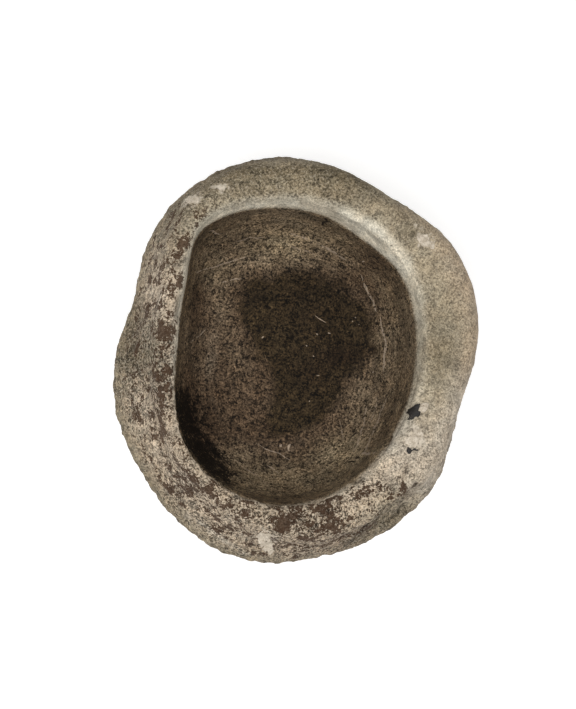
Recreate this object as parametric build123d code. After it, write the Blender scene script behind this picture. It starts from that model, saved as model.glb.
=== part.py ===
from build123d import *
import os
from math import cos, radians, sin

# A molcajete: a hand-cut mortar hollowed out of one block of grey volcanic stone, standing on
# three stub feet left on the same block. Crusts of lime and two spots of pitch are bedded in
# shallow pits in its rim.
# Millimetres, +Z up, +Y along the longer side of the plan. The feet stand on Z = 0, and the
# whole piece is moved at the end so that the origin is under the middle of the block.

# Driving dimensions: heights above the surface that the feet stand on
RIM_HEIGHT = 165.0          # crest of the rim
SHOULDER_HEIGHT = 140.0     # where the outer wall starts to roll over into the rim
BELLY_HEIGHT = 92.0         # the widest level of the block
UNDERSIDE_HEIGHT = 42.0     # lowest level of the bowl's underside, between the feet
FLOOR_HEIGHT = 84.0         # deepest level of the basin
FLOOR_EDGE_HEIGHT = 97.0    # where the basin's floor turns up into its wall
LIP_HEIGHT = 154.0          # where the basin's wall starts to roll over into the rim

# Plan of the outer wall: distance from the middle every PLAN_STEP degrees, from +X towards +Y
PLAN_STEP = 20
BELLY_RADII = (130, 137, 140, 136, 144, 151, 152, 143, 131,
               136, 141, 144, 151, 152, 147, 143, 138, 127)
SHOULDER_RADII = (127, 135, 138, 134, 142, 148, 148, 137, 122,
                  117, 120, 126, 134, 139, 137, 132, 127, 120)

# Underside: share of the belly's plan that is left at each height below it
UNDERSIDE_PROFILE = ((UNDERSIDE_HEIGHT, 0.40), (46, 0.62), (55, 0.80), (70, 0.935))

# Rim: how far its crest lies inside the shoulder
CREST_INSET = 14.0

# Plan of the basin's mouth: it is nearly straight along -X, with a corner at its +Y end
MOUTH = ((80, 0), (79, 27), (67, 64), (42, 88), (11, 104), (-30, 108), (-64, 100), (-80, 88),
         (-87, 66), (-93, 32), (-96, 0), (-97, -37), (-88, -68), (-64, -93), (-30, -106),
         (7, -103), (38, -85), (60, -59), (75, -27))
BASIN_CENTRE = (-9, 0)
LIP_ROLL = 5.0              # how far the lip rolls back over the rim

# Feet: they lean outwards and flare into the bowl. Each level has its height, the distance of
# its centre from the middle of the block, and its radius
FOOT_BEARINGS = (-128, -20, 88)     # degrees from +X
FOOT_LEVELS = ((0, 91, 20), (22, 88, 25), (44, 81, 32), (66, 71, 40))
TOE_ROUND = 6.0

# Spalls, where the outer wall has flaked: bearing, height, and how deep and round the scoop is
SPALLS = ((-58, 138, 4.5, 85), (171, 118, 4.0, 60))

# Crusts on the rim: the place of each in plan, and its outline about that place
CRUST_DEPTH = 2.5           # how deep they are bedded in the stone
CRUSTS = {
    "pitch_patch_upper": ((76, -40), ((2, 5), (4, 4), (2, 0), (4, -2), (1, -5), (-3, -7),
                                      (-6, -7), (-4, -4), (-6, -1), (-4, 1))),
    "pitch_patch_lower": ((73, -69), ((-4, 1), (-1, 0), (2, -1), (4, 3), (5, 0), (5, -2),
                                      (1, -2), (-3, -4), (-5, -2))),
    "lime_chip": ((83, -37), ((-3, 3), (2, 3), (2, 0), (0, -3), (-3, -5), (-5, -3))),
    "lime_patch": ((74, -59), ((-7, -1), (-3, 3), (2, 4), (6, 0), (5, -5), (1, -7), (-5, -5))),
    "lime_patch_east": ((84, 83), ((-7, 1), (-5, 5), (0, 5), (2, 1), (7, -2), (5, -6),
                                   (1, -5), (-4, -3))),
    "lime_patch_north": ((-85, 111), ((-4, 2), (0, 4), (3, 1), (3, -3), (0, -4), (-4, -2))),
    "lime_patch_south": ((-29, -134), ((-6, 4), (-2, 7), (1, 0), (6, -5), (6, -9), (0, -9),
                                       (-6, -3))),
}


def closed_spline(points, height):
    """A smooth closed wire through plan points at one height."""
    return Wire([Edge.make_spline([(x, y, height) for x, y in points], periodic=True)])


def polar_plan(radii, grow=0.0, scale=1.0):
    """Plan points of an outline given by its radii, grown by a distance and then scaled."""
    bearings = [radians(PLAN_STEP * i) for i in range(len(radii))]
    return [(scale * (r + grow) * cos(a), scale * (r + grow) * sin(a))
            for r, a in zip(radii, bearings)]


def mouth_plan(scale=1.0, grow=0.0):
    """Plan points of the basin at one level: the mouth scaled and grown about its centre."""
    cx, cy = BASIN_CENTRE
    plan = []
    for x, y in MOUTH:
        dx, dy = x - cx, y - cy
        reach = (dx * dx + dy * dy) ** 0.5
        k = scale * (reach + grow) / reach
        plan.append((cx + k * dx, cy + k * dy))
    return plan


def outside():
    """The outside of the block, without its feet."""
    sections = [closed_spline(polar_plan(BELLY_RADII, scale=share), height)
                for height, share in UNDERSIDE_PROFILE]
    roll = SHOULDER_HEIGHT + 0.72 * (RIM_HEIGHT - SHOULDER_HEIGHT)
    sections += [
        closed_spline(polar_plan(BELLY_RADII), BELLY_HEIGHT),
        closed_spline(polar_plan(SHOULDER_RADII), SHOULDER_HEIGHT),
        closed_spline(polar_plan(SHOULDER_RADII, grow=-0.40 * CREST_INSET), roll),
        closed_spline(polar_plan(SHOULDER_RADII, grow=-CREST_INSET), RIM_HEIGHT),
    ]
    return Solid.make_loft(sections)


def basin():
    """The hollow, from its floor to just past the rim."""
    above = 6.0
    mid_wall = (FLOOR_EDGE_HEIGHT + LIP_HEIGHT) / 2 + 8
    sections = [
        closed_spline(mouth_plan(scale=0.50), FLOOR_HEIGHT),
        closed_spline(mouth_plan(scale=0.80), FLOOR_EDGE_HEIGHT - 6),
        closed_spline(mouth_plan(scale=0.91), FLOOR_EDGE_HEIGHT + 12),
        closed_spline(mouth_plan(scale=0.975), mid_wall),
        closed_spline(mouth_plan(), LIP_HEIGHT),
        closed_spline(mouth_plan(grow=LIP_ROLL), RIM_HEIGHT),
        closed_spline(mouth_plan(grow=2 * LIP_ROLL + above), RIM_HEIGHT + above),
    ]
    return Solid.make_loft(sections)


def foot(bearing):
    """One stub foot, its root buried in the block."""
    a = radians(bearing)
    levels = [Pos(distance * cos(a), distance * sin(a), height) * Circle(radius)
              for height, distance, radius in FOOT_LEVELS]
    return fillet(loft(levels).edges().group_by(Axis.Z)[0], TOE_ROUND)


def spall(stone, bearing, height, depth, radius):
    """The ball that scoops one flake off the outer wall."""
    a = radians(bearing)
    hits = stone.find_intersection_points(Axis((0, 0, height), (cos(a), sin(a), 0)))
    skin, normal = max(hits, key=lambda hit: hit[0].X * cos(a) + hit[0].Y * sin(a))
    return Pos(*(skin + normal * (radius - depth))) * Sphere(radius)


def crust_prism(stone, place, outline):
    """A prism square to the rim that takes one crust and the pit it is bedded in."""
    x, y = place
    hits = stone.find_intersection_points(Axis((x, y, 0), (0, 0, 1)))
    top, normal = max(hits, key=lambda hit: hit[0].Z)
    seat = Plane(origin=top - normal * CRUST_DEPTH, x_dir=(1, 0, 0), z_dir=normal)
    return extrude(seat * make_face(Polyline(*outline, close=True)), amount=4 * CRUST_DEPTH)


stone = outside() - basin()
for bearing in FOOT_BEARINGS:
    stone = stone + foot(bearing)
for flake in SPALLS:
    stone = stone - spall(stone, *flake)

pieces = {}
for name, (place, outline) in CRUSTS.items():
    prism = crust_prism(stone, place, outline)
    pieces[name] = stone & prism
    stone = stone - prism
pieces["stone_block"] = stone

reach = stone.bounding_box()
centred = Pos(-(reach.min.X + reach.max.X) / 2, -(reach.min.Y + reach.max.Y) / 2, -reach.min.Z)

os.makedirs("parts", exist_ok=True)
for name, piece in pieces.items():
    export_step(centred * piece, f"parts/{name}.step")
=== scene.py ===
from itertools import product
from math import cos, pi, radians, sin

import bmesh
import bpy
import numpy as np
from mathutils import Matrix, Vector
from mathutils.bvhtree import BVHTree


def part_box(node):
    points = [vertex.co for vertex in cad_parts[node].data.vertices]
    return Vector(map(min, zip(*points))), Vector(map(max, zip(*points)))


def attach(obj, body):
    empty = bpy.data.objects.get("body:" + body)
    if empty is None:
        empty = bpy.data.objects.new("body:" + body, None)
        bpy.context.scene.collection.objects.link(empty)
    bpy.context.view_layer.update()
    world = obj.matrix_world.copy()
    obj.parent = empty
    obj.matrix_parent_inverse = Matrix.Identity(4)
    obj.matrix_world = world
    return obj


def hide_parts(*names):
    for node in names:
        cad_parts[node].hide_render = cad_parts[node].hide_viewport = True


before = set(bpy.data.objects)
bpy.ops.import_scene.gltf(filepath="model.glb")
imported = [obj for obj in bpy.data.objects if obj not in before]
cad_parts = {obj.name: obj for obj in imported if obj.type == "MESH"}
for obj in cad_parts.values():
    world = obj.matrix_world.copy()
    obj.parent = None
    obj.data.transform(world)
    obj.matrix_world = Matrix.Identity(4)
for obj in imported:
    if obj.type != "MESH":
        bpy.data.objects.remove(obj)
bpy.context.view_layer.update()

# Lengths are in millimetres in the shape and noise code below, and in metres in Blender.
MM = 0.001
BASIN = np.array([-7.0, 0.0])       # middle of the basin in plan
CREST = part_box("stone_block")[1].z / MM
VOXEL = 1.45
STONE_TRIANGLES = 196000


# ---------------------------------------------------------------- numbers

def ramp(x, low, high):
    """0 at low and 1 at high, with smooth ends. low may be the larger."""
    t = np.clip((np.asarray(x, float) - low) / (high - low), 0, 1)
    return t * t * (3 - 2 * t)


RANDOM = np.random.default_rng(7)
GRADIENTS = RANDOM.normal(size=(4096, 3))
GRADIENTS /= np.linalg.norm(GRADIENTS, axis=1)[:, None]
SCATTER = RANDOM.random((4096, 4))


def scramble(cell, seed):
    """A repeatable table index for each whole-numbered cell."""
    h = cell[..., 0] * 73856093 ^ cell[..., 1] * 19349663 ^ cell[..., 2] * 83492791
    h = (h + seed * 9176423) & 0x7FFFFFFF
    h = ((h ^ (h >> 13)) * 1274126177) & 0x7FFFFFFF
    return (h ^ (h >> 15)) & 4095


def noise(points, wave, seed):
    """Smooth noise of about -1 to 1 whose lumps are about one wave across."""
    q = points / wave
    cell = np.floor(q).astype(np.int64)
    f = q - cell
    u = f * f * f * (f * (f * 6 - 15) + 10)
    total = np.zeros(len(points))
    for corner in product((0, 1), repeat=3):
        c = np.array(corner)
        slope = GRADIENTS[scramble(cell + c, seed)]
        total += np.prod(np.where(c, u, 1 - u), axis=1) * ((f - c) * slope).sum(1)
    return 1.7 * total


def rough(points, wave, seed, octaves=3, fade=0.55):
    """Noise with finer and finer noise added to it."""
    total = np.zeros(len(points))
    for k in range(octaves):
        total += fade ** k * noise(points, wave / 2 ** k, seed + 31 * k)
    return total


def pits(points, wave, seed, share, size):
    """0 outside and up to 1 in the middle of round pits, one in a share of the cells."""
    q = points / wave
    base = np.floor(q).astype(np.int64)
    deep = np.zeros(len(points))
    for step in product((-1, 0, 1), repeat=3):
        cell = base + np.array(step)
        dice = SCATTER[scramble(cell, seed)]
        away = np.linalg.norm(cell + 0.15 + 0.7 * dice[:, :3] - q, axis=1) * wave
        radius = size * (0.5 + dice[:, 3] / share)
        hit = np.clip(1 - (away / radius) ** 2, 0, 1) * (dice[:, 3] < share)
        deep = np.maximum(deep, hit)
    return deep


def from_segment(points, a, b):
    """Distance in plan from the line between two places."""
    a, b = np.array(a, float), np.array(b, float)
    p = points[:, :2] - a
    t = np.clip(p @ (b - a) / ((b - a) @ (b - a)), 0, 1)
    return np.linalg.norm(p - t[:, None] * (b - a), axis=1)


def inside_by(points, outline):
    """How far each plan point is inside an outline: negative outside it."""
    corners = np.array(outline)
    nearest = np.min([from_segment(points, a, b)
                      for a, b in zip(corners, np.roll(corners, -1, axis=0))], axis=0)
    x, y = points[:, 0], points[:, 1]
    within = np.zeros(len(points), bool)
    for (ax, ay), (bx, by) in zip(corners, np.roll(corners, -1, axis=0)):
        if ay != by:
            within ^= ((ay > y) != (by > y)) & (x < (bx - ax) * (y - ay) / (by - ay) + ax)
    return np.where(within, nearest, -nearest)


def blob(points, x, y, wide, tall, turn=0.0):
    """A soft round patch in plan: 1 in its middle and 0.37 at its edge."""
    c, s = cos(radians(turn)), sin(radians(turn))
    u = (points[:, 0] - x) * c + (points[:, 1] - y) * s
    v = (points[:, 1] - y) * c - (points[:, 0] - x) * s
    return np.exp(-(u / wide) ** 2 - (v / tall) ** 2)


# ---------------------------------------------------------------- meshes

def column(mesh, what, width=3):
    """One property of all a mesh's points, as an array."""
    values = np.zeros(len(mesh.vertices) * width, np.float32)
    mesh.vertices.foreach_get(what, values)
    return values.reshape(-1, width).astype(float)


def move(mesh, points):
    """Moves a mesh's points to new places, in millimetres."""
    mesh.vertices.foreach_set("co", (points * MM).astype(np.float32).ravel())
    mesh.update()


def modified(name, mesh, kind, **settings):
    """The mesh that a modifier makes of this one."""
    holder = bpy.data.objects.new(name, mesh)
    bpy.context.scene.collection.objects.link(holder)
    modifier = holder.modifiers.new(kind, kind)
    for key, value in settings.items():
        setattr(modifier, key, value)
    graph = bpy.context.evaluated_depsgraph_get()
    made = bpy.data.meshes.new_from_object(holder.evaluated_get(graph))
    bpy.data.objects.remove(holder)
    made.name = name
    return made


def smoothed(points, mesh, rounds):
    """Points of a mesh pulled towards their neighbours along its edges."""
    edges = np.zeros(len(mesh.edges) * 2, np.int32)
    mesh.edges.foreach_get("vertices", edges)
    edges = edges.reshape(-1, 2)
    ends = np.concatenate([edges, edges[:, ::-1]])
    count = np.bincount(ends[:, 0], minlength=len(points))[:, None]
    for _ in range(rounds):
        near = np.stack([np.bincount(ends[:, 0], points[ends[:, 1], k], len(points))
                         for k in range(3)], axis=1) / count
        points = 0.5 * points + 0.5 * near
    return points


def tree_of(mesh):
    """What a ray is cast at to find a mesh's surface."""
    return BVHTree.FromPolygons([v.co for v in mesh.vertices],
                                [p.vertices for p in mesh.polygons])


def shown(name, mesh, material, slot, *nodes):
    """Puts a finished mesh into the scene in place of its CAD nodes."""
    piece = bpy.data.objects.new(name, mesh)
    bpy.context.scene.collection.objects.link(piece)
    mesh.materials.clear()
    mesh.materials.append(material)
    mesh.polygons.foreach_set("use_smooth", [True] * len(mesh.polygons))
    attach(piece, "root")
    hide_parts(*nodes)
    return piece


# ---------------------------------------------------------------- the stone's own coordinates

cad_stone = tree_of(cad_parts["stone_block"].data)
BEARINGS = np.radians(np.arange(0, 360, 5))


def reaches(height, outside):
    """How far the basin's wall or the outer wall is from the basin's middle, all round."""
    found = []
    for a in BEARINGS:
        way = Vector((cos(a), sin(a), 0))
        start = Vector((BASIN[0] * MM, BASIN[1] * MM, height * MM))
        if outside:
            hit = cad_stone.ray_cast(start + 0.4 * way, -way)
        else:
            hit = cad_stone.ray_cast(start, way)
        found.append((hit[0] - start).length / MM)
    return np.array(found)


MOUTH_REACH = reaches(150, False)
WALL_REACH = reaches(140, True)


# The pale worn lip, partly worn pale and partly a painted highlight on the side facing the light,
# at each bearing from the basin's middle: how far it reaches down the wall, how far out over the
# rim, and how pale it is
LIP = ((-180, 10, 4, 0.8), (-165, 8, 3, 0.6), (-150, 6, 2.5, 0.3), (-120, 6, 3, 0.2),
       (-90, 8, 4, 0.25), (-75, 8, 5, 0.4), (-60, 9, 6, 0.35), (-30, 12, 6, 0.4), (0, 13, 3, 0.45),
       (30, 14, 6, 0.6), (42, 16, 8, 0.9), (60, 22, 9, 1.0), (75, 18, 7, 0.75), (95, 16, 5, 0.85),
       (120, 14, 4, 0.85), (135, 12, 4, 1.0), (150, 12, 5, 1.0), (180, 10, 4, 0.8))


class Places:
    """Where points lie on the stone: in the basin, on the rim or on the outer wall."""

    def __init__(self, points):
        plan = points[:, :2] - BASIN
        self.z = points[:, 2]
        self.bearing = np.arctan2(plan[:, 1], plan[:, 0])
        self.degrees = np.degrees(self.bearing)
        far = np.hypot(plan[:, 0], plan[:, 1])
        mouth = np.interp(self.bearing, BEARINGS, MOUTH_REACH, period=2 * pi)
        wall = np.interp(self.bearing, BEARINGS, WALL_REACH, period=2 * pi)
        self.rho = far / mouth                              # 1 at the basin's wall
        self.over = far - mouth                             # mm outside the basin's wall
        self.across = (far - mouth) / (wall - mouth)        # 0 at the lip, 1 at the shoulder
        inside = ramp(self.over, 4.5, 2.5) * ramp(self.z, 80, 83)
        self.basin = inside * ramp(self.z, CREST - 2, CREST - 7)
        self.rim = (1 - self.basin) * ramp(self.z, CREST - 26, CREST - 10)
        self.outer = (1 - self.basin) * (1 - self.rim)

        degrees, down, out, pale = (np.array(row, float) for row in zip(*LIP))
        down, out, pale = (np.interp(self.degrees, degrees, row) for row in (down, out, pale))
        shown = ramp(self.z, CREST - down - 3, CREST - down + 5)
        self.lip = pale * shown * ramp(self.over, out + 5, out - 4)
        self.used = inside * (1 - shown)                    # the part darkened by use

    def towards(self, degrees, spread):
        """1 on one bearing, fading out to each side."""
        off = (self.degrees - degrees + 180) % 360 - 180
        return ramp(np.abs(off), spread, spread * 0.35)


# ---------------------------------------------------------------- the shape of the stone

# Gouges and flakes: from, to, width and depth, in plan, on the rim and its outer edge
GOUGES = (
    ((84, -94), (78, -103), 2.2, 1.8),
    ((78, -103), (72, -112), 2.6, 2.2),
    ((50, -117), (58, -108), 3.0, 2.2),
    ((72, -122), (82, -112), 5.0, 3.5),
    ((30, -134), (54, -122), 7.0, 2.6),
    ((56, -120), (66, -110), 5.0, 1.6),
    ((-95, 26), (-93, 40), 5.0, 1.4),
    ((-104, -6), (-101, 6), 5.0, 1.6),
    ((-96, 62), (-90, 66), 4.0, 1.5),
    ((34, -92), (38, -90), 3.6, 1.8),
    ((14, -112), (22, -108), 4.0, 1.2),
    ((57, -68), (62, -58), 1.6, 1.6),
)
# Edges of broken faces: from and to in plan, going round clockwise, and how deep the break is
LEDGES = (
    ((79, -92), (60, -108), 3.2),
    ((60, -108), (37, -137), 3.6),
    ((-108, 30), (-106, 58), 1.2),
)


def beyond(points, a, b):
    """1 on the outer side of a line between two places, fading past its ends."""
    a, b = np.array(a, float), np.array(b, float)
    along = (b - a) / np.linalg.norm(b - a)
    p = points[:, :2] - a
    t = p @ along
    side = p @ np.array([-along[1], along[0]]) + 1.2 * noise(points, 9, 21)
    return ramp(side, -0.8, 1.2) * ramp(t, -6, 6) * ramp(t, np.linalg.norm(b - a) + 6,
                                                        np.linalg.norm(b - a) - 6)


def swell(points, here):
    """How far the hand-cut surface stands out from the smooth CAD shape, in millimetres."""
    outer, rim, basin = here.outer, here.rim, here.basin
    tall = points * np.array([1.0, 1.0, 0.35])
    out = (0.5 + 0.5 * (1 - basin)) * 1.1 * noise(points, 90, 1)

    # the outer wall: dressed with a pick, and a little streaked from top to bottom
    dressed = 0.9 * noise(points, 30, 2) + 0.45 * rough(points, 13, 3) + 0.5 * rough(points, 5, 5)
    streaked = 0.7 * rough(tall, 8, 6, 3)
    out += outer * (dressed + streaked * ramp(points[:, 2], 45, 75))

    # the rim: domed, worn smooth by the lip and crusted towards its outer edge
    dome = 1.8 - 7.0 * (here.across - 0.45) ** 2
    crusted = crust_amount(points, here)
    relief = 0.7 * noise(points, 24, 8) + 0.25 * rough(points, 6, 9, 2)
    scabs = 0.9 * ramp(rough(points, 5.5, 10), -0.1, 0.25) - 0.45
    out += rim * (dome + relief + crusted * scabs)
    on_lip = ramp(np.abs(here.over - 2), 6, 1) * ramp(points[:, 2], 148, 156)
    chipped = here.towards(-140, 75) * on_lip
    out += chipped * (0.9 * rough(points, 7, 22, 3) - 0.3)

    # the basin: ground smooth, with shallow rings
    ground = 0.5 * noise(points, 34, 12) + 0.22 * rough(points, 6, 13)
    rings = 0.14 * noise(ring_points(here, 3.2, 3), 1.0, 14)
    out += basin * (ground + rings)

    # pits left by gas bubbles and by the pick
    out -= (0.4 + 0.6 * outer) * (1 - 0.75 * basin) * 1.7 * pits(points, 8.0, 15, 0.22, 1.5)
    out -= (1 - basin) * 1.1 * pits(points, 4.6, 16, 0.20, 0.9)
    out -= basin * 0.9 * pits(points, 4.6, 17, 0.14, 0.9)

    low = ramp(points[:, 2], 100, 125)
    for a, b, wide, deep in GOUGES:
        out -= deep * ramp(from_segment(points, a, b), wide, 0) * low
    for a, b, deep in LEDGES:
        out -= deep * beyond(points, a, b) * low
    return out


# Soft patches in plan: x, y, half-width along x, half-width along y, turn, strength
BROWN = (
    (-105, -24, 7, 24, 0, 1.0), (-105, 14, 5, 14, 0, 0.6), (-86, -94, 13, 12, -40, 0.9),
    (-50, -114, 18, 5, -12, 0.5), (-2, -120, 24, 10, 0, 1.1), (12, -113, 12, 8, 20, 0.9),
    (39, -101, 11, 6, 25, 0.8), (62, -96, 7, 6, 0, 0.7), (-84, 75, 5, 5, 0, 0.8),
    (-116, 20, 6, 18, 0, 0.5), (-96, -62, 7, 16, 15, 0.5), (46, -126, 5, 3, 50, 0.6),
)
# Lime crusts; the narrow patch at (-50, -135) is a painted highlight along the ridge of the rim's
# lower-left outer edge
LIME_AND_EDGE_HIGHLIGHT = (
    (76, -60, 9, 10, 30, 0.6), (74, -50, 6, 6, 0, 0.3), (-27, -134, 10, 11, 20, 0.6),
    (86, 83, 10, 8, 0, 0.5), (-84, 111, 8, 7, 0, 0.6), (-64, 119, 6, 4, 0, 0.7),
    (80, 94, 4, 3, 0, 0.5), (-50, -135, 20, 4, -26, 0.5), (-18, -117, 10, 4, 0, 0.35),
)


def patches(points, spots):
    """The strongest of several soft patches at each point."""
    total = np.zeros(len(points))
    for x, y, wide, tall, turn, strength in spots:
        total = np.maximum(total, strength * blob(points, x, y, wide, tall, turn))
    return total


def ring_points(here, spacing, turns):
    """Coordinates that vary quickly across the basin's rings and slowly along them."""
    return np.stack([here.rho * 95 / spacing, turns * np.cos(here.bearing) + 9,
                     turns * np.sin(here.bearing) + 9], axis=1)


def crust_amount(points, here):
    """How thickly the old brown crust lies: most on the left and the bottom of the rim."""
    some = 0.35 * np.maximum(here.towards(178, 70), here.towards(245, 70))
    spread = np.clip(some + 0.75 * patches(points, BROWN), 0, 1)
    return spread * (1 - here.basin) * ramp(here.over, 2, 6) * ramp(here.z, 100, 135)


def stone_mesh():
    """The CAD solids remade as one fine mesh, with the hand-cut surface on it."""
    parts = bmesh.new()
    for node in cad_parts.values():
        parts.from_mesh(node.data)
    whole = bpy.data.meshes.new("whole")
    parts.to_mesh(whole)
    parts.free()
    whole = modified("whole", whole, "REMESH", mode="VOXEL", voxel_size=VOXEL * MM)

    points = smoothed(column(whole, "co") / MM, whole, 12)
    move(whole, points)
    normals = column(whole, "normal")
    here = Places(points)
    out = swell(points, here)
    points = points + normals * out[:, None]
    points[:, 2] = np.maximum(points[:, 2], 0)
    move(whole, points)
    share = STONE_TRIANGLES / (2 * len(whole.polygons))
    return modified("stone", whole, "DECIMATE", ratio=share)


# ---------------------------------------------------------------- materials

def srgb(r, g, b):
    """A colour from its 0-255 screen values."""
    linear = [((c / 255 + 0.055) / 1.055) ** 2.4 if c > 10 else c / 255 / 12.92
              for c in (r, g, b)]
    return (*linear, 1.0)


class Shader:
    """A material whose nodes are added by short calls."""

    def __init__(self, name):
        self.material = bpy.data.materials.new(name)
        self.material.use_nodes = True
        self.tree = self.material.node_tree
        self.surface = self.tree.nodes["Principled BSDF"]
        place = self.tree.nodes.new("ShaderNodeTexCoord")
        scale = self.tree.nodes.new("ShaderNodeMapping")
        scale.inputs["Scale"].default_value = (1000, 1000, 1000)
        self.tree.links.new(place.outputs["Object"], scale.inputs["Vector"])
        self.mm = scale.outputs["Vector"]

    def put(self, socket, value):
        if isinstance(value, bpy.types.NodeSocket):
            self.tree.links.new(value, socket)
        else:
            socket.default_value = value

    def attribute(self, name, output="Fac"):
        node = self.tree.nodes.new("ShaderNodeAttribute")
        node.attribute_name = name
        return node.outputs[output]

    def math(self, kind, *values):
        node = self.tree.nodes.new("ShaderNodeMath")
        node.operation = kind
        for socket, value in zip(node.inputs, values):
            self.put(socket, value)
        return node.outputs[0]

    def times(self, *values):
        result = values[0]
        for value in values[1:]:
            result = self.math("MULTIPLY", result, value)
        return result

    def plus(self, a, b):
        return self.math("ADD", a, b)

    def ramp(self, value, low, high, start=0.0, end=1.0):
        node = self.tree.nodes.new("ShaderNodeMapRange")
        node.interpolation_type = "SMOOTHSTEP"
        for name, number in (("From Min", low), ("From Max", high), ("To Min", start),
                             ("To Max", end)):
            node.inputs[name].default_value = number
        self.put(node.inputs["Value"], value)
        return node.outputs[0]

    def mix(self, share, a, b, kind="MIX"):
        node = self.tree.nodes.new("ShaderNodeMix")
        node.data_type = "RGBA"
        node.blend_type = kind
        self.put(node.inputs["Factor"], share)
        colours = [s for s in node.inputs if s.type == "RGBA"]
        self.put(colours[0], a)
        self.put(colours[1], b)
        return [s for s in node.outputs if s.type == "RGBA"][0]

    def between(self, share, a, b):
        """Number a where the share is 0 and b where it is 1."""
        return self.plus(self.times(share, self.math("SUBTRACT", b, a)), a)

    def noise(self, wave, detail=2.0, where=None, roughness=0.55):
        """Blender's noise, about 0.25 to 0.75, with lumps one wave of millimetres across."""
        node = self.tree.nodes.new("ShaderNodeTexNoise")
        node.inputs["Scale"].default_value = 1 / wave
        node.inputs["Detail"].default_value = detail
        node.inputs["Roughness"].default_value = roughness
        self.put(node.inputs["Vector"], where or self.mm)
        return node.outputs["Fac"]

    def grains(self, wave, where=None):
        """A random number for each mineral grain, mostly 0.2 to 0.8."""
        node = self.tree.nodes.new("ShaderNodeTexVoronoi")
        node.inputs["Scale"].default_value = 1 / wave
        self.put(node.inputs["Vector"], where or self.mm)
        return self.math("ADD", node.outputs["Color"], 0.0)

    def join(self, x, y, z):
        node = self.tree.nodes.new("ShaderNodeCombineXYZ")
        for socket, value in zip(node.inputs, (x, y, z)):
            self.put(socket, value)
        return node.outputs[0]

    def vector(self, kind, a, b=None, scale=None):
        node = self.tree.nodes.new("ShaderNodeVectorMath")
        node.operation = kind
        self.put(node.inputs[0], a)
        if b is not None:
            self.put(node.inputs[1], b)
        if scale is not None:
            self.put(node.inputs["Scale"], scale)
        return node.outputs["Value" if kind in ("DISTANCE", "DOT_PRODUCT") else "Vector"]

    def flat(self):
        """The place in plan, with its height taken off."""
        return self.vector("MULTIPLY", self.mm, (1, 1, 0))

    def bump(self, height):
        """Relief from a height in millimetres."""
        node = self.tree.nodes.new("ShaderNodeBump")
        node.inputs["Strength"].default_value = 1.0
        node.inputs["Distance"].default_value = MM
        self.put(node.inputs["Height"], height)
        self.put(self.surface.inputs["Normal"], node.outputs["Normal"])

    def finish(self, colour, roughness, specular=0.2):
        self.put(self.surface.inputs["Base Color"], colour)
        self.put(self.surface.inputs["Roughness"], roughness)
        self.surface.inputs["Specular IOR Level"].default_value = specular
        return self.material


# Scratches in the basin, each an arc in plan through three places, with its width and strength
SCRATCHES = (
    ((-77, 64), (-54, 74), (-36, 79), 0.45, 0.8),
    ((-52, 60), (-47, 62), (-39, 63), 0.45, 0.8),
    ((-43, 90), (-36, 92), (-25, 93), 0.45, 0.6),
    ((-65, 93), (-62, 93.3), (-59, 93), 0.7, 1.0),
    ((-4, 96), (4, 94), (12, 90), 0.45, 0.8),
    ((-5, 89), (5, 86), (17, 81), 0.45, 0.5),
    ((19, 88), (27, 84), (37, 77), 0.5, 0.8),
    ((51, 64), (57, 54), (63, 40), 0.5, 0.8),
    ((66, 32), (69, 15), (68, -5), 0.6, 0.9),
    ((-77, 14), (-72, 19), (-65, 24), 0.45, 0.7),
    ((20, 35), (22, 34), (25, 32), 0.5, 1.0),
    ((67, -30), (60, -48), (50, -67), 0.45, 0.7),
    ((56, -35), (52, -50), (44, -67), 0.45, 0.6),
    ((63, -26), (61, -36), (58, -45), 0.4, 0.5),
    ((-21, -64), (-11, -68.5), (-2, -72), 0.45, 0.8),
    ((-36, -80), (-32, -83), (-27, -87), 0.45, 0.6),
    ((-18, -78), (-15, -80), (-12, -83), 0.45, 0.8),
    ((38, -45), (38.4, -51), (38, -58), 0.45, 0.5),
)
# Pale specks and dark holes that stand out in the basin: place in plan and radius
PALE_SPECKS = (
    (29, 24, 0.8), (16, 4, 0.8), (20, 23, 0.7), (11, 14, 0.7), (-22, 20, 0.7), (21, -10, 0.7),
    (61, -7, 0.8), (15, -28, 0.7), (50, -70, 2.1), (-7, -65, 1.5), (-1, -64, 1.2), (-26, 82, 0.7),
    (50, 75, 0.8), (46, 32, 0.7), (49, 36, 0.6), (51, 30, 0.6),
)
DARK_HOLES = (
    (17, 100, 2.0), (12, 98, 1.4), (-73, 49, 1.2), (-66, -63, 2.0), (-60, -62, 1.4),
    (-8, -60, 1.8), (45, -73, 2.4), (41, -75, 1.6), (-79, -26, 1.6), (62, 10, 2.0),
)


def arc_through(a, b, c):
    """The circle through three places: its centre, its radius, and a line that cuts off the arc
    between them, as a direction and the least reach along it."""
    (ax, ay), (bx, by), (cx, cy) = a, b, c
    d = 2 * (ax * (by - cy) + bx * (cy - ay) + cx * (ay - by))
    squares = [x * x + y * y for x, y in (a, b, c)]
    x = (squares[0] * (by - cy) + squares[1] * (cy - ay) + squares[2] * (ay - by)) / d
    y = (squares[0] * (cx - bx) + squares[1] * (ax - cx) + squares[2] * (bx - ax)) / d
    centre = Vector((x, y, 0))
    way = (Vector(((ax + cx) / 2, (ay + cy) / 2, 0)) - centre).normalized()
    return centre, (Vector((ax, ay, 0)) - centre).length, way, way.dot(Vector((ax, ay, 0)))


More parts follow.
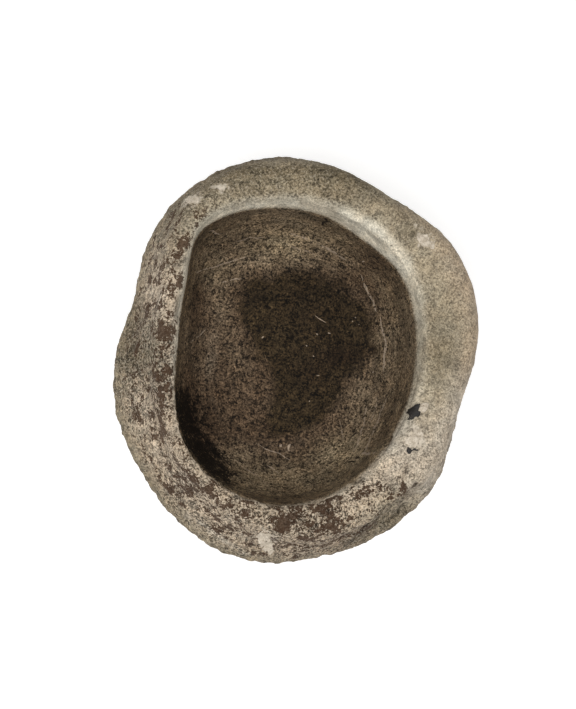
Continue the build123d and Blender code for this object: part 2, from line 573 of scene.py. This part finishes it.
def marks(s):
    """Where the basin's scratches and pale specks are, and where its holes are."""
    wave = s.tree.nodes.new("ShaderNodeTexNoise")
    wave.inputs["Scale"].default_value = 1 / 9
    s.put(wave.inputs["Vector"], s.mm)
    shift = s.vector("SUBTRACT", wave.outputs["Color"], (0.5, 0.5, 0.5))
    where = s.vector("ADD", s.flat(), s.vector("MULTIPLY", shift, (4, 4, 0)))
    lines, dots, holes = 0.0, 0.0, 0.0
    for a, b, c, width, strength in SCRATCHES:
        centre, radius, way, least = arc_through(a, b, c)
        near = s.math("COMPARE", s.vector("DISTANCE", where, centre), radius, width)
        within = s.math("GREATER_THAN", s.vector("DOT_PRODUCT", where, way), least)
        lines = s.math("MAXIMUM", lines, s.times(near, within, strength))
    fine = s.vector("ADD", s.flat(), s.vector("MULTIPLY", shift, (9, 9, 0)))
    for x, y, radius in PALE_SPECKS:
        dots = s.math("MAXIMUM", dots, s.ramp(s.vector("DISTANCE", fine, (x, y, 0)),
                                              radius, radius * 0.6))
    for x, y, radius in DARK_HOLES:
        holes = s.math("MAXIMUM", holes, s.ramp(s.vector("DISTANCE", fine, (x, y, 0)),
                                                radius, radius * 0.4))
    broken = s.ramp(s.noise(2.6, 2.0), 0.38, 0.50)
    return s.math("MAXIMUM", s.times(lines, broken), dots), holes


def stone_material():
    """Speckled volcanic stone: weathered on the rim, darkened by use in the basin, with painted
    shade in its hollows and a painted shadow in the basin's lower-left corner.
    """
    s = Shader("volcanic_stone")
    tone = s.attribute("tone", "Color")
    used, lip, crust, flank = (s.attribute(n) for n in ("used", "lip", "crust", "flank"))
    recess_shade, lime, coarse, corner_shadow = (s.attribute(n) for n in ("recess_shade", "lime", "coarse", "corner_shadow"))
    rho, east, north = (s.attribute(n) for n in ("rho", "east", "north"))

    grain = s.grains(1.0)
    fine = s.noise(1.2, 2.0, roughness=0.8)
    flecks = s.plus(s.noise(1.8, 3.0, roughness=0.8), s.times(grain, 0.08))
    spots = s.noise(5.5, 4.0, roughness=0.7)
    mottle = s.noise(10, 4.0, roughness=0.65)
    tall = s.noise(5, 4.0, s.vector("MULTIPLY", s.mm, (1, 1, 0.3)), roughness=0.7)
    rings = s.noise(1.0, 3.0, s.join(s.times(rho, 42.0), s.times(east, 2.0), s.times(north, 2.0)),
                    roughness=0.7)
    streaks = s.between(flank, rings, tall)
    streaky = s.math("MAXIMUM", s.math("MAXIMUM", used, flank), s.times(lip, 0.7))

    # dark specks, thickest where the crust is, and pale flecks; both soften on the worn lip
    soft = s.times(s.ramp(lip, 0.1, 0.7, 1.0, 0.35), s.between(used, coarse, 1.0))
    clumps = s.times(s.ramp(spots, 0.35, 0.62, -1.0, 1.0), 0.045)
    thick = s.plus(s.times(crust, -0.06), s.times(used, -0.015))
    specks = s.ramp(s.plus(flecks, s.plus(clumps, thick)), 0.490, 0.455)
    pale = s.ramp(s.plus(flecks, s.times(crust, 0.03)), 0.60, 0.66)
    holes = s.times(s.ramp(spots, 0.40, 0.365), s.plus(used, s.times(crust, 0.7)))

    # the zone's own tone, mottled, streaked and freckled
    light = s.ramp(mottle, 0.30, 0.70, 0.80, 1.24)
    light = s.times(light, s.plus(1.0, s.times(s.ramp(streaks, 0.30, 0.70, -1.0, 1.0), streaky,
                                              0.32)))
    gentle = s.plus(0.4, s.times(soft, 0.6))
    for texture, low, high, swing in ((grain, 0.15, 0.85, 0.30), (fine, 0.30, 0.70, 0.42)):
        freckles = s.ramp(texture, low, high, -1.0, 1.0)
        light = s.times(light, s.plus(1.0, s.times(freckles, gentle, swing)))
    light = s.times(light, s.plus(1.0, s.times(specks, soft, -0.76)))
    light = s.times(light, s.plus(1.0, s.times(pale, soft, used, 0.55)))
    light = s.times(light, s.plus(1.0, s.times(holes, -0.65)))
    warm = s.times(s.ramp(s.noise(14, 3.0), 0.35, 0.65, -1.0, 1.0), 0.02)
    colour = s.mix(1.0, tone, s.join(s.times(light, s.plus(1.04, warm)), light,
                                     s.times(light, s.math("SUBTRACT", 0.95, warm))), "MULTIPLY")

    crumbs = s.times(pale, soft, s.math("SUBTRACT", 1.0, used))
    colour = s.mix(s.times(crumbs, 0.45), colour, srgb(212, 200, 180))

    # limy flakes, with a painted highlight on the ridge of the lower-left outer edge, and ragged
    # patches of brown crust
    limed = s.times(s.ramp(s.plus(spots, s.times(lime, 0.45)), 0.60, 0.85), s.ramp(lime, 0.0, 0.3))
    colour = s.mix(limed, colour, srgb(208, 196, 178))
    ragged = s.plus(s.noise(10, 6.0, roughness=0.75), s.times(s.plus(flecks, -0.55), -0.30))
    patch = s.times(s.ramp(s.plus(ragged, s.times(crust, 0.11)), 0.565, 0.585),
                    s.ramp(crust, 0.02, 0.15))
    brown = s.mix(fine, srgb(46, 32, 21), srgb(94, 70, 52))
    colour = s.mix(s.times(patch, 0.92), colour, brown)

    bright, pits = marks(s)
    colour = s.mix(s.times(bright, used, 0.85), colour, srgb(188, 168, 146))
    # painted shadow: a ragged near-black patch in the basin's lower-left corner
    uneven = s.plus(s.times(s.plus(flecks, -0.55), -2.6), s.times(s.plus(spots, -0.5), -2.4))
    black = s.times(s.ramp(s.plus(corner_shadow, uneven), 0.20, 0.80), s.ramp(corner_shadow, 0.0, 0.25))
    colour = s.mix(s.times(black, 0.95), colour, srgb(14, 7, 2))
    # painted shade in the surface's hollows, and the basin's dark holes
    colour = s.mix(s.math("MAXIMUM", s.times(recess_shade, 0.85), s.times(pits, used)), colour,
                   srgb(34, 26, 19))

    height = s.plus(s.times(fine, 0.5), s.times(flecks, 1.0))
    height = s.plus(height, s.times(mottle, 1.2))
    height = s.plus(height, s.plus(s.times(specks, -0.35), s.times(patch, 0.45)))
    s.bump(s.times(height, s.plus(0.15, s.times(soft, 0.85))))
    return s.finish(colour, s.ramp(used, 0, 1, 0.92, 0.78))


# The stone's tones: weathered stone on the rim and stone darkened by use in the basin, with painted
# shade and painted light among them
PALE = srgb(185, 170, 150)
TAUPE = srgb(170, 155, 135)
COOL = srgb(180, 170, 155)
GREY = srgb(155, 145, 125)
DULL = srgb(130, 120, 100)
# painted shade on the rim's outer edge, on the side away from the light
RIM_SHADE = srgb(100, 90, 70)
# painted highlight along ridges and edges of the rim
EDGE_HIGHLIGHT = srgb(205, 195, 180)
BROWNED = srgb(90, 75, 60)
# painted shade in crevices, gouges and along broken ledges
CREVICE_SHADE = srgb(60, 45, 30)
# the worn lip, also a painted highlight
WORN_LIP_AND_HIGHLIGHT = srgb(210, 205, 190)
USED = srgb(85, 70, 55)
WALL = srgb(110, 95, 75)
# lighter stone in the basin: partly wear, partly painted light on walls and on shaded floor
WORN_AND_LIT = srgb(125, 110, 90)
# brighter still: partly painted light
BRIGHT = srgb(150, 135, 110)
# painted shade
SHADE = srgb(70, 55, 40)
STAINED = srgb(55, 45, 30)
DEEP_STAIN = srgb(40, 30, 20)

# The rim at each bearing: its tone near the lip and near the shoulder, and how strong its
# speckle is
RIM = (
    (-180, TAUPE, DULL, 1.0), (-165, TAUPE, PALE, 1.0), (-150, PALE, PALE, 0.6),
    (-120, TAUPE, PALE, 1.0), (-90, TAUPE, TAUPE, 1.0), (-75, PALE, TAUPE, 1.0),
    (-60, PALE, GREY, 0.9), (-42, COOL, COOL, 0.6), (-15, GREY, COOL, 0.4), (0, DULL, TAUPE, 0.4),
    # the darker shoulders at 77 and 105 degrees are painted shade
    (30, GREY, TAUPE, 0.4), (60, GREY, DULL, 0.5), (77, DULL, RIM_SHADE, 0.6),
    (105, DULL, RIM_SHADE, 0.7), (130, GREY, DULL, 0.7), (155, PALE, PALE, 0.6),
    (180, TAUPE, DULL, 1.0),
)
# Soft patches of tone on the rim: x, y, half-width along x, half-width along y, turn, strength
RIM_PATCHES = (
    (48, -134, 20, 5, 24, 0.8, BROWNED), (74, -114, 6, 10, -40, 0.3, BROWNED),
    (-88, -104, 16, 8, -45, 0.4, PALE), (-125, 24, 7, 30, 0, 0.9, BROWNED),
    # painted highlights: pale strips along edges of the left rim
    (-108, 36, 5, 24, 0, 0.4, EDGE_HIGHLIGHT), (-97, 10, 4, 32, 0, 0.3, EDGE_HIGHLIGHT),
    # the darker patch at (74, 90) is painted shade on the rim's outer edge
    (-16, 139, 26, 4, 0, 0.6, GREY), (74, 90, 8, 6, 0, 0.6, RIM_SHADE),
    (107, 22, 12, 20, 0, 0.5, GREY),
)
# Lines of tone on the rim: a path in plan, how far it reaches, strength and tone; the first two are
# painted shade along a broken ledge and a groove
RIM_LINES = (
    (((79, -92), (76, -99), (60, -108), (51, -118), (38, -135)), 4.0, 1.0, CREVICE_SHADE),
    (((72, -78), (69, -86), (67, -91)), 2.5, 0.5, CREVICE_SHADE),
    # painted highlight along the ridge of the rim's lower-left outer edge
    (((-82, -116), (-72, -123), (-61, -129), (-52, -137), (-40, -144)), 4.5, 1.0, EDGE_HIGHLIGHT),
)
# Soft patches of tone in the basin, set out in the same way; the lighter ones are partly wear and
# partly painted light, and the two darker ones at the lower left are painted shade
USED_TONES = (
    (-6, 105, 50, 9, 0, 0.9, WORN_AND_LIT), (-60, 70, 16, 13, 10, 0.6, BRIGHT),
    (-55, 46, 8, 17, 15, 0.7, WORN_AND_LIT), (-18, 79, 48, 9, 0, 0.9, WORN_AND_LIT),
    (-6, 90, 28, 9, 0, 1.0, BRIGHT), (28, 80, 18, 7, -30, 0.7, WORN_AND_LIT),
    (56, 72, 18, 9, -45, 0.7, USED), (70, 8, 9, 34, 0, 1.0, WORN_AND_LIT),
    (83, 16, 6, 44, 0, 0.8, WORN_AND_LIT), (55, -34, 13, 28, -12, 1.0, WORN_AND_LIT),
    # this line and the next two: painted light on the floor near the bottom and left walls, where
    # those walls shade it
    (36, -69, 20, 12, 20, 1.0, BRIGHT), (-40, -72, 15, 9, -10, 1.0, WORN_AND_LIT),
    (-14, -88, 50, 12, 0, 0.7, BRIGHT), (-84, 16, 7, 18, 0, 0.8, WORN_AND_LIT),
    (-70, 8, 9, 22, 0, 0.35, WORN_AND_LIT), (-44, 8, 10, 22, 20, 0.3, WORN_AND_LIT),
    # painted shade beside the dark lower-left corner
    (-62, -38, 16, 18, 20, 0.5, SHADE), (-22, -50, 12, 9, 0, 0.5, SHADE),
)
# The dark stain in the middle of the floor, as an outline in plan, and its darkest places
STAIN = (
    (-36, 58), (-24, 66), (-8, 69), (10, 70), (26, 65), (40, 61), (50, 52), (60, 38), (63, 22),
    (65, 10), (55, -1), (43, -12), (36, -28), (26, -42), (12, -53), (-6, -55), (-20, -48),
    (-16, -34), (-14, -22), (-18, -6), (-28, 6), (-34, 20), (-42, 36), (-42, 48),
)
DARKEST = (
    (36, 6, 22, 9, 5, 1.0), (16, -6, 18, 14, 0, 0.6), (14, 40, 24, 24, 0, 0.4),
    (-28, 50, 9, 8, 0, 0.5), (62, 10, 5, 5, 0, 0.8),
)
# Painted shadow in the lower-left corner between the floor and the wall: a path in plan, how far it
# reaches
CORNER_SHADOW_PATH = ((-86, -34), (-81, -50), (-75, -64), (-67, -75), (-59, -83))
CORNER_SHADOW_REACH = 28


def near_path(points, path, reach):
    """1 on a path in plan, fading to 0 where it no longer reaches."""
    away = np.min([from_segment(points, a, b) for a, b in zip(path, path[1:])], axis=0)
    return ramp(away, reach, 0)


def blend(under, over, share):
    """Colours under and over, mixed point by point."""
    return under + (np.array(over)[..., :3] - under) * np.clip(share, 0, 1)[:, None]


def stained(points, tone):
    """The tone with the floor's stain over it: an uneven patch with a ragged edge."""
    depth = inside_by(points, STAIN) + 4.5 * rough(points, 18, 41, 5, 0.7)
    tone = blend(tone, STAINED, 0.97 * ramp(depth, -5, 6))
    return blend(tone, DEEP_STAIN, patches(points, DARKEST))


def tones(points, here):
    """The tone of each place, from its zone and the soft patches over it."""
    degrees = [row[0] for row in RIM]
    near, far = (np.stack([np.interp(here.degrees, degrees, [row[side][k] for row in RIM])
                           for k in range(3)], axis=1) for side in (1, 2))
    tone = blend(near, far, ramp(here.across, 0.35, 0.9))
    for x, y, wide, tall, turn, strength, over in RIM_PATCHES:
        tone = blend(tone, over, strength * blob(points, x, y, wide, tall, turn))
    for path, reach, strength, over in RIM_LINES:
        broken = ramp(rough(points, 9, 43), -0.5, 0.0)
        tone = blend(tone, over, strength * broken * near_path(points, path, reach))
    tone = blend(tone, DULL, here.outer * ramp(here.z, 135, 95))
    # painted shade in the gouges
    for a, b, wide, deep in GOUGES:
        tone = blend(tone, CREVICE_SHADE, 0.16 * deep * ramp(from_segment(points, a, b), wide, wide * 0.3)
                     * ramp(here.z, 100, 125))

    used = blend(np.tile(USED[:3], (len(points), 1)), WALL, ramp(here.rho, 0.84, 0.95))
    for x, y, wide, tall, turn, strength, over in USED_TONES:
        used = blend(used, over, strength * blob(points, x, y, wide, tall, turn))
    used = stained(points, used)

    tone = blend(tone, used, here.used)
    # the pale lip: wear, and a painted highlight on the side facing the light
    return blend(tone, WORN_LIP_AND_HIGHLIGHT, here.lip)


def paint(mesh):
    """Writes what the stone's material needs to know about each place on it."""
    points = column(mesh, "co") / MM
    here = Places(points)
    level = smoothed(points, mesh, 6)
    dip = ((level - points) * column(mesh, "normal")).sum(1)
    masks = {
        "used": here.used,
        "lip": here.lip,
        "crust": crust_amount(points, here),
        "flank": here.outer,
        "coarse": np.interp(here.degrees, [row[0] for row in RIM], [row[3] for row in RIM]),
        # lime crusts, and one painted highlight on a ridge
        "lime": patches(points, LIME_AND_EDGE_HIGHLIGHT) * ramp(here.z, 126, 140),
        # painted shadow in the basin's lower-left corner
        "corner_shadow": near_path(points, CORNER_SHADOW_PATH, CORNER_SHADOW_REACH) * here.used,
        "rho": here.rho,
        "east": np.cos(here.bearing),
        "north": np.sin(here.bearing),
        # painted shade where the surface dips below its smoothed level
        "recess_shade": ramp(dip, 0.05, 0.7),
    }
    for name, values in masks.items():
        layer = mesh.attributes.new(name, "FLOAT", "POINT")
        layer.data.foreach_set("value", values.astype(np.float32))
    layer = mesh.attributes.new("tone", "FLOAT_COLOR", "POINT")
    tone = np.column_stack([tones(points, here), np.ones(len(points))])
    layer.data.foreach_set("color", tone.astype(np.float32).ravel())


stone = stone_mesh()
paint(stone)
shown("mortar_stone", stone, stone_material(), "stone", "stone_block")


# ---------------------------------------------------------------- pitch and lime on the rim

# Each crust: its CAD node, the slot it takes its finish from, its middle in plan, how thick it
# stands, how loose it is, and its outline about its middle
CRUSTS = (
    ("pitch_patch_upper", "pitch", (77, -41), 0.5, 0.2, (
        (4, 6), (4.5, 5.5), (3.5, 3.5), (2.5, 1.5), (3, 0.5), (4.5, 0), (5, -0.5),
        (3.5, -2.5), (2.5, -4), (1, -3.5), (0, -4), (-2, -6), (-3, -5.5),
        (-4.5, -6), (-5, -5.5), (-4, -4), (-3, -3), (-4, -1.5), (-4.5, -0.5),
        (-3, 2), (-1.5, 3), (0.5, 4.5), (2.5, 6))),
    ("pitch_patch_lower", "pitch", (75, -69), 0.5, 0.2, (
        (-4.5, 0), (-4, 1.5), (-3, 2.5), (-2, 1.5), (-1, 0.5), (1, 1), (2, 2.5),
        (2.5, 1), (4.5, 0.5), (4.5, -0.5), (2.5, 0), (0.5, 0), (-0.5, -0.5), (-1, -2),
        (-2.5, -2.5), (-3.5, -2))),
    ("lime_chip", "lime", (83.5, -38), 1.2, 0.3, (
        (-1.5, 2.5), (1, 3.5), (3, 3.5), (3.5, 1.5), (2.5, -1), (1, -2.5), (0, -3.5),
        (-1.5, -3), (-3.5, -2), (-3, -0.5), (-2, 1.5))),
    ("lime_patch", "lime", (76, -60), 0.35, 1.0, (
        (1.5, 7), (5, 6), (7.5, 4), (7, 2), (4, 0), (3, -2.5), (3, -5.5),
        (0.5, -7), (-2.5, -7), (-4.5, -5), (-7.5, -3), (-6, -0.5), (-2.5, 1),
        (0, 3), (-0.5, 5.5))),
    ("lime_patch_east", "lime", (86, 83), 0.5, 0.8, (
        (-7, 2), (-4.5, 5), (-1, 5.5), (2, 4.5), (3, 1), (7, -2), (6, -5.5),
        (2, -4), (-2.5, -3))),
    ("lime_patch_north", "lime", (-83.5, 111.5), 0.5, 0.8, (
        (-4, 2), (-1.5, 3.5), (2.5, 2.5), (4, -0.5), (2.5, -3), (-2, -3.5),
        (-4, -1))),
    ("lime_patch_south", "lime", (-27, -135), 0.25, 1.6, (
        (-6.5, 8), (-2, 9), (1.5, 3), (5, -2), (8, -6), (6, -9), (0.5, -6),
        (-4.5, -1), (-8, 4))),
)
CRUST_GRID = 0.4
CRUST_SKIRT = 1.0           # how far past its outline a crust goes, sunk under the stone


def crust_mesh(name, middle, thick, loose, outline, ground):
    """A thin closed crust lying on the stone: its edge dips under the stone's surface, and so do
    its hollows where it is loose."""
    ring = np.array(outline)
    low, high = ring.min(0) - CRUST_SKIRT, ring.max(0) + CRUST_SKIRT
    xs, ys = (np.arange(a, b, CRUST_GRID) for a, b in zip(low, high))
    grid = np.array([(x, y, 0.0) for y in ys for x in xs])
    shift = (0.4 + 0.6 * loose) * np.column_stack([noise(grid, 1.8, 61), noise(grid, 1.8, 62)])
    ragged = grid[:, :2] + shift
    depth = inside_by(ragged, outline)

    plan = grid + (*middle, 0)
    hits = [ground.ray_cast(Vector((x * MM, y * MM, 0.3)), Vector((0, 0, -1))) for x, y, _ in plan]
    normal = np.array(sum((hit[1] for hit in hits if hit[0]), Vector()).normalized())
    skin = np.array([hit[0] / MM for hit in hits])
    stands = thick * (1 + loose * (1.4 * noise(plan, 3.0, 63) + noise(plan, 1.3, 64)))
    lift = -1.0 + (stands + 1.0) * ramp(depth, -0.9, 0.3)
    top = skin + normal * lift[:, None]
    bottom = skin - 2.0 * normal

    mesh = bmesh.new()
    wide = len(xs)
    covered = depth.reshape(len(ys), wide) > -CRUST_SKIRT
    upper, lower = {}, {}
    cells = [(r, c) for r in range(len(ys) - 1) for c in range(wide - 1)
             if covered[r:r + 2, c:c + 2].all()]
    for r, c in cells:
        corners = [(r, c), (r, c + 1), (r + 1, c + 1), (r + 1, c)]
        for layer, places in ((upper, top), (lower, bottom)):
            for corner in corners:
                if corner not in layer:
                    layer[corner] = mesh.verts.new(places[corner[0] * wide + corner[1]] * MM)
        mesh.faces.new([upper[corner] for corner in corners])
        mesh.faces.new([lower[corner] for corner in reversed(corners)])
    down = {upper[key]: lower[key] for key in upper}
    rims = [edge for edge in mesh.edges if edge.is_boundary and edge.verts[0] in down]
    for edge in rims:
        a, b = edge.verts
        if edge.link_loops[0].vert is b:
            a, b = b, a
        mesh.faces.new([b, a, down[a], down[b]])
    made = bpy.data.meshes.new(name)
    mesh.to_mesh(made)
    mesh.free()
    return made


def pitch_material():
    """Old pitch: nearly black, with a few greyer grains of dust."""
    s = Shader("old_pitch")
    fine = s.noise(0.9, 3.0, roughness=0.8)
    lumps = s.noise(3.0, 3.0)
    colour = s.mix(s.ramp(lumps, 0.35, 0.65), srgb(24, 21, 19), srgb(42, 38, 35))
    colour = s.mix(s.ramp(fine, 0.60, 0.68), colour, srgb(96, 88, 80))
    s.bump(s.plus(s.times(fine, 0.4), s.times(lumps, 0.8)))
    return s.finish(colour, s.ramp(lumps, 0.35, 0.65, 0.5, 0.75), 0.4)


def lime_material():
    """Cream lime crust with small darker pits."""
    s = Shader("lime_crust")
    fine = s.noise(1.1, 3.0, roughness=0.8)
    lumps = s.noise(3.5, 4.0, roughness=0.7)
    colour = s.mix(s.ramp(lumps, 0.35, 0.65), srgb(178, 165, 146), srgb(218, 206, 188))
    colour = s.mix(s.ramp(fine, 0.42, 0.34), colour, srgb(128, 110, 92))
    s.bump(s.plus(s.times(fine, 0.5), s.times(lumps, 1.0)))
    return s.finish(colour, s.ramp(fine, 0.3, 0.7, 0.85, 0.95))


ground = tree_of(stone)
finishes = {"pitch": pitch_material(), "lime": lime_material()}
for node, slot, middle, thick, loose, outline in CRUSTS:
    crust = crust_mesh(node + "_crust", middle, thick, loose, outline, ground)
    shown(node + "_crust", crust, finishes[slot], slot, node)


# ---------------------------------------------------------------- floor, light and camera

def floor_material():
    """A plain pale floor that glows a little, so that it stays even."""
    s = Shader("pale_floor")
    tint = s.ramp(s.noise(60, 2.0), 0.3, 0.7, 0.94, 0.96)
    s.surface.inputs["Emission Color"].default_value = (1, 1, 1, 1)
    s.surface.inputs["Emission Strength"].default_value = 0.35
    return s.finish(s.join(tint, tint, tint), 0.9)


sheet = bpy.data.meshes.new("floor")
sheet.from_pydata([(-4, -4, 0), (4, -4, 0), (4, 4, 0), (-4, 4, 0)], [], [(0, 1, 2, 3)])
floor = bpy.data.objects.new("floor", sheet)
bpy.context.scene.collection.objects.link(floor)
sheet.materials.append(floor_material())


def lamp(name, bearing, elevation, distance, size, power):
    """A square soft light aimed at the object."""
    data = bpy.data.lights.new(name, "AREA")
    data.size = size
    data.energy = power
    a, e = radians(bearing), radians(elevation)
    away = Vector((cos(a) * cos(e), sin(a) * cos(e), sin(e)))
    light = bpy.data.objects.new(name, data)
    light.location = away * distance + Vector((0, 0, 0.1))
    light.rotation_euler = away.to_track_quat("Z", "Y").to_euler()
    bpy.context.scene.collection.objects.link(light)


lamp("key", 225, 68, 2.2, 1.3, 30)
lamp("top", 60, 80, 2.4, 2.2, 14)

world = bpy.data.worlds.new("studio")
world.use_nodes = True
world.node_tree.nodes["Background"].inputs["Color"].default_value = (1, 1, 1, 1)
world.node_tree.nodes["Background"].inputs["Strength"].default_value = 0.40
bpy.context.scene.world = world
bpy.context.scene.view_settings.view_transform = "Standard"

# The camera looks down on the mortar from a little to its left and front
CAMERA_TARGET = Vector((-5, 5, 100)) * MM
CAMERA_DISTANCE = 1.5
CAMERA_TILT = 10.3                  # degrees from straight down
CAMERA_BEARING = (-0.87, -0.48)
LENS = 101.55

bearing = Vector((*CAMERA_BEARING, 0)).normalized()
tilt = radians(CAMERA_TILT)
back = (bearing * sin(tilt) + Vector((0, 0, cos(tilt)))).normalized()
right = Vector((0, 1, 0)).cross(back).normalized()
up = back.cross(right)
data = bpy.data.cameras.new("camera")
data.lens = LENS
data.sensor_width = 36
camera = bpy.data.objects.new("camera", data)
bpy.context.scene.collection.objects.link(camera)
camera.matrix_world = Matrix.Translation(CAMERA_TARGET + back * CAMERA_DISTANCE) @ Matrix((
    (right.x, up.x, back.x, 0), (right.y, up.y, back.y, 0), (right.z, up.z, back.z, 0),
    (0, 0, 0, 1)))
bpy.context.scene.camera = camera
